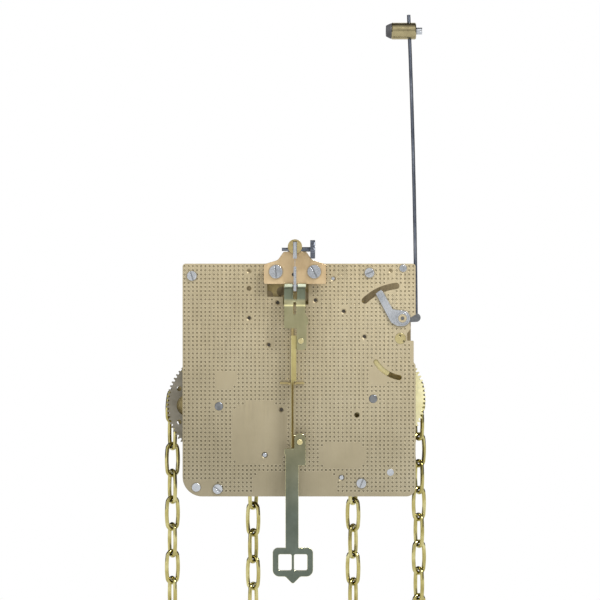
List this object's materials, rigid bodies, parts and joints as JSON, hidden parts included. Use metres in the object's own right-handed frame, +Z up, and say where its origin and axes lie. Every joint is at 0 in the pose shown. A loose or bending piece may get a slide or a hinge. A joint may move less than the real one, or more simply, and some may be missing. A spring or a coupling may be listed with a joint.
{
  "type": "longcase clock movement",
  "caption": "Weight-driven clock movement with chains, bell hammer and pendulum leader between two brass plates.",
  "frame": {"origin": "middle of the back plate's bottom edge, below the suspension spring", "axes": "+X to the right seen from the back, +Y from the back plate to the dial, +Z up"},
  "size_m": [0.1305, 0.0801, 0.3176],
  "materials": {
    "plate_brass": "dimpled, lacquered, satin",
    "cock_brass": "satin",
    "brass": "satin",
    "bright_brass": "bright",
    "chain_brass": "bright, drawn wire",
    "leader_metal": "stamped, dull",
    "steel": "satin",
    "wire_steel": "drawn, dark",
    "tip_plastic": "matt"
  },
  "bodies": {
    "frame": {"back_plate": "plate_brass", "front_plate": "plate_brass", "plate_pillars": "steel", "plate_screws": "steel", "riveted_studs": "steel", "suspension_cock": "cock_brass", "cock_screws": "steel", "suspension_stud": "brass", "suspension_block": "steel", "chain_wraps": "chain_brass"},
    "pendulum_leader": {"suspension_blade": "steel", "leader_head": "leader_metal", "leader_web": "leader_metal", "pendulum_hook": "leader_metal", "leader_rivets": "bright_brass"},
    "crutch_and_anchor": {"pallet_arbor": "steel", "anchor": "steel", "crutch": "brass"},
    "thumb_screw": {"thumb_screw": "wire_steel"},
    "time_great": {"time_great_arbor": "steel", "time_great_wheel": "brass", "time_chain_wheel": "brass"},
    "second": {"second_arbor": "steel", "second_wheel": "brass"},
    "centre": {"centre_arbor": "steel", "centre_wheel": "brass", "cannon_pinion": "brass"},
    "third": {"third_arbor": "steel", "third_wheel": "brass"},
    "fourth": {"fourth_arbor": "steel", "fourth_wheel": "brass"},
    "escape": {"escape_arbor": "steel", "escape_wheel": "brass"},
    "minute_work": {"minute_wheel": "brass"},
    "hour_work": {"hour_wheel": "brass", "snail": "brass"},
    "rack": {"rack": "steel"},
    "rack_hook": {"rack_hook": "steel"},
    "lifting_lever": {"lifting_lever": "steel"},
    "strike_great": {"strike_great_arbor": "steel", "strike_great_wheel": "bright_brass", "strike_chain_wheel": "brass"},
    "pin": {"pin_arbor": "steel", "pin_wheel": "brass"},
    "locking": {"locking_arbor": "steel", "locking_wheel": "brass"},
    "warning": {"warning_arbor": "steel", "warning_wheel": "brass"},
    "fly": {"fly": "steel"},
    "hammer": {"hammer_arbor": "steel", "hammer_wire": "wire_steel", "hammer_head": "bright_brass", "hammer_tip": "tip_plastic", "hammer_set_screw": "steel"},
    "silence_lever": {"silence_lever": "steel"},
    "shift_lever": {"shift_lever": "bright_brass"},
    "time_load": {"time_chain_load": "chain_brass"},
    "time_slack": {"time_chain_slack": "chain_brass"},
    "strike_load": {"strike_chain_load": "chain_brass"},
    "strike_slack": {"strike_chain_slack": "chain_brass"}
  },
  "joints": [
    {"name": "centre_turn", "type": "hinge", "parent": "frame", "child": "centre", "pos_m": [-0.0007, 0.02, 0.062], "axis": [0, 1, 0], "continuous": true},
    {"name": "time_great_turn", "type": "hinge", "parent": "frame", "child": "time_great", "pos_m": [-0.0366, 0.02, 0.0434], "axis": [0, 1, 0], "continuous": true},
    {"name": "second_turn", "type": "hinge", "parent": "frame", "child": "second", "pos_m": [-0.0065, 0.02, 0.0418], "axis": [0, 1, 0], "continuous": true},
    {"name": "third_turn", "type": "hinge", "parent": "frame", "child": "third", "pos_m": [-0.0126, 0.02, 0.073], "axis": [0, 1, 0], "continuous": true},
    {"name": "fourth_turn", "type": "hinge", "parent": "frame", "child": "fourth", "pos_m": [-0.0221, 0.02, 0.0859], "axis": [0, 1, 0], "continuous": true},
    {"name": "escape_turn", "type": "hinge", "parent": "frame", "child": "escape", "pos_m": [-0.0083, 0.02, 0.0933], "axis": [0, 1, 0], "continuous": true},
    {"name": "minute_work_turn", "type": "hinge", "parent": "frame", "child": "minute_work", "pos_m": [0.0096, 0.02, 0.0505], "axis": [0, 1, 0], "continuous": true},
    {"name": "hour_work_turn", "type": "hinge", "parent": "frame", "child": "hour_work", "pos_m": [-0.0007, 0.02, 0.062], "axis": [0, 1, 0], "continuous": true},
    {"name": "pin_turn", "type": "hinge", "parent": "frame", "child": "pin", "pos_m": [0.0334, 0.02, 0.0769], "axis": [0, 1, 0], "continuous": true},
    {"name": "strike_great_turn", "type": "hinge", "parent": "frame", "child": "strike_great", "pos_m": [0.0376, 0.02, 0.047], "axis": [0, 1, 0], "continuous": true},
    {"name": "locking_turn", "type": "hinge", "parent": "frame", "child": "locking", "pos_m": [0.0234, 0.02, 0.0891], "axis": [0, 1, 0], "continuous": true},
    {"name": "warning_turn", "type": "hinge", "parent": "frame", "child": "warning", "pos_m": [0.0098, 0.02, 0.0944], "axis": [0, 1, 0], "continuous": true},
    {"name": "fly_turn", "type": "hinge", "parent": "frame", "child": "fly", "pos_m": [0.0183, 0.02, 0.1048], "axis": [0, 1, 0], "continuous": true},
    {"name": "leader_swing", "type": "hinge", "parent": "frame", "child": "pendulum_leader", "pos_m": [0, -0.011, 0.1124], "axis": [0, 1, 0], "range_deg": [-1.8, 1.8]},
    {"name": "crutch_swing", "type": "hinge", "parent": "frame", "child": "crutch_and_anchor", "pos_m": [-0.0007, 0.02, 0.1067], "axis": [0, 1, 0], "range_deg": [-2.3, 2.3]},
    {"name": "thumb_screw_turn", "type": "hinge", "parent": "frame", "child": "thumb_screw", "pos_m": [0, -0.0112, 0.1186], "axis": [1, 0, 0], "range_deg": [-180, 180]},
    {"name": "hammer_swing", "type": "hinge", "parent": "frame", "child": "hammer", "pos_m": [0.0516, 0.02, 0.0857], "axis": [0, 1, 0], "range_deg": [-3, 10], "stiffness_Nm_per_rad": 0.05},
    {"name": "silence_lever_turn", "type": "hinge", "parent": "frame", "child": "silence_lever", "pos_m": [0.0516, -0.0015, 0.0857], "axis": [0, 1, 0], "range_deg": [-4, 24]},
    {"name": "shift_lever_turn", "type": "hinge", "parent": "frame", "child": "shift_lever", "pos_m": [0.0507, 0.0015, 0.076], "axis": [0, 1, 0], "range_deg": [-6, 6]},
    {"name": "rack_tilt", "type": "hinge", "parent": "frame", "child": "rack", "pos_m": [-0.034, 0.052, 0.06], "axis": [0, 1, 0], "range_deg": [-4, 6]},
    {"name": "rack_hook_tilt", "type": "hinge", "parent": "frame", "child": "rack_hook", "pos_m": [0.024, 0.052, 0.099], "axis": [0, 1, 0], "range_deg": [-1, 5]},
    {"name": "lifting_lever_tilt", "type": "hinge", "parent": "frame", "child": "lifting_lever", "pos_m": [0.033, 0.052, 0.064], "axis": [0, 1, 0], "range_deg": [-5, 5]},
    {"name": "time_load_sway", "type": "hinge", "parent": "frame", "child": "time_load", "pos_m": [-0.0602, 0.01925, 0.03598], "axis": [0, 1, 0], "range_deg": [-3, 6]},
    {"name": "time_slack_sway", "type": "hinge", "parent": "frame", "child": "time_slack", "pos_m": [-0.0206, 0.01925, 0.01994], "axis": [0, 1, 0], "range_deg": [-5, 5]},
    {"name": "strike_load_sway", "type": "hinge", "parent": "frame", "child": "strike_load", "pos_m": [0.0607, 0.01925, 0.04068], "axis": [0, 1, 0], "range_deg": [-6, 3]},
    {"name": "strike_slack_sway", "type": "hinge", "parent": "frame", "child": "strike_slack", "pos_m": [0.0284, 0.01925, 0.00908], "axis": [0, 1, 0], "range_deg": [-5, 5]}
  ],
  "couplings": [
    {"joint": "second_turn", "follows": "centre_turn", "ratio": -0.33333},
    {"joint": "time_great_turn", "follows": "centre_turn", "ratio": 0.064103},
    {"joint": "third_turn", "follows": "centre_turn", "ratio": -4},
    {"joint": "fourth_turn", "follows": "centre_turn", "ratio": 15},
    {"joint": "escape_turn", "follows": "centre_turn", "ratio": -60},
    {"joint": "minute_work_turn", "follows": "centre_turn", "ratio": -0.33333},
    {"joint": "hour_work_turn", "follows": "centre_turn", "ratio": 0.083333},
    {"joint": "strike_great_turn", "follows": "pin_turn", "ratio": -0.19231},
    {"joint": "locking_turn", "follows": "pin_turn", "ratio": -4},
    {"joint": "warning_turn", "follows": "pin_turn", "ratio": 16},
    {"joint": "fly_turn", "follows": "pin_turn", "ratio": -64},
    {"joint": "crutch_swing", "follows": "leader_swing", "ratio": 1.1094}
  ]
}
